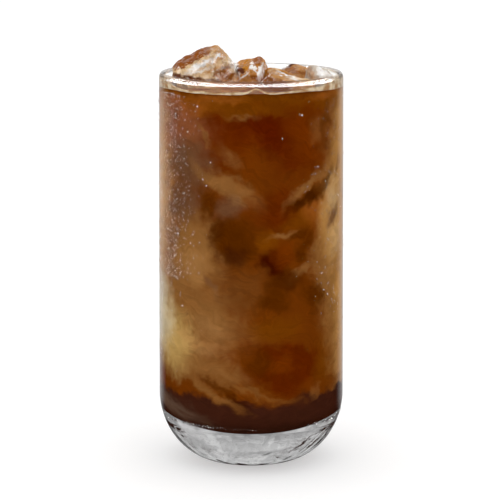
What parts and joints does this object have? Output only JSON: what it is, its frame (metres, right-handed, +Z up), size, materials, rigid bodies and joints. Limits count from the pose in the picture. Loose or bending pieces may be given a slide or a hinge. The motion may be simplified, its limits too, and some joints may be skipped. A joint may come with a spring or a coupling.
{
  "type": "iced latte in a glass",
  "caption": "Iced latte in a tall clear tumbler with a rounded heavy base: milk-clouded coffee over a dark layer, a thin line of foam, ice standing above the rim.",
  "frame": {"origin": "middle of the foot, on the surface the glass stands on", "axes": "+Z up along the glass, -Y towards the front, +X to the right"},
  "size_m": [0.0712, 0.0712, 0.1598],
  "materials": {
    "glass": "clear, polished",
    "dark_coffee": "liquid, near black brown",
    "latte": "liquid, brown clouded with milk",
    "foam": "fine bubbles",
    "ice": "wet ice tinted by coffee, frosted inside"
  },
  "bodies": {
    "root": {"glass": "glass", "dark_coffee_layer": "dark_coffee", "latte": "latte", "foam": "foam", "ice_left_large": "ice", "ice_centre": "ice", "ice_small_amber": "ice", "ice_front_right": "ice", "ice_back_right": "ice", "ice_far_right": "ice"}
  },
  "joints": []
}
